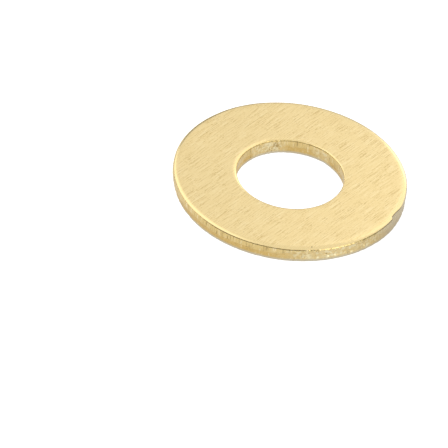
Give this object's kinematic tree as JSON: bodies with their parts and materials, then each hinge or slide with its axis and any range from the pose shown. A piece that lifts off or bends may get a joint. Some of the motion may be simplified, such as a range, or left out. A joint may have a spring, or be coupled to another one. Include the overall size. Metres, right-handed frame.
{
  "type": "flat washer",
  "caption": "Flat round punched brass washer: a thin ring that spreads the load of a screw head or nut.",
  "frame": {"origin": "centre of the bottom face, on the hole's axis", "axes": "+Z along the hole's axis, towards the rolled-over face; X and Y lie in the plane of the ring"},
  "size_m": [0.014, 0.014, 0.001],
  "materials": {
    "brass": "brushed faces, punched edges"
  },
  "bodies": {
    "root": {"flat_washer": "brass"}
  },
  "joints": []
}
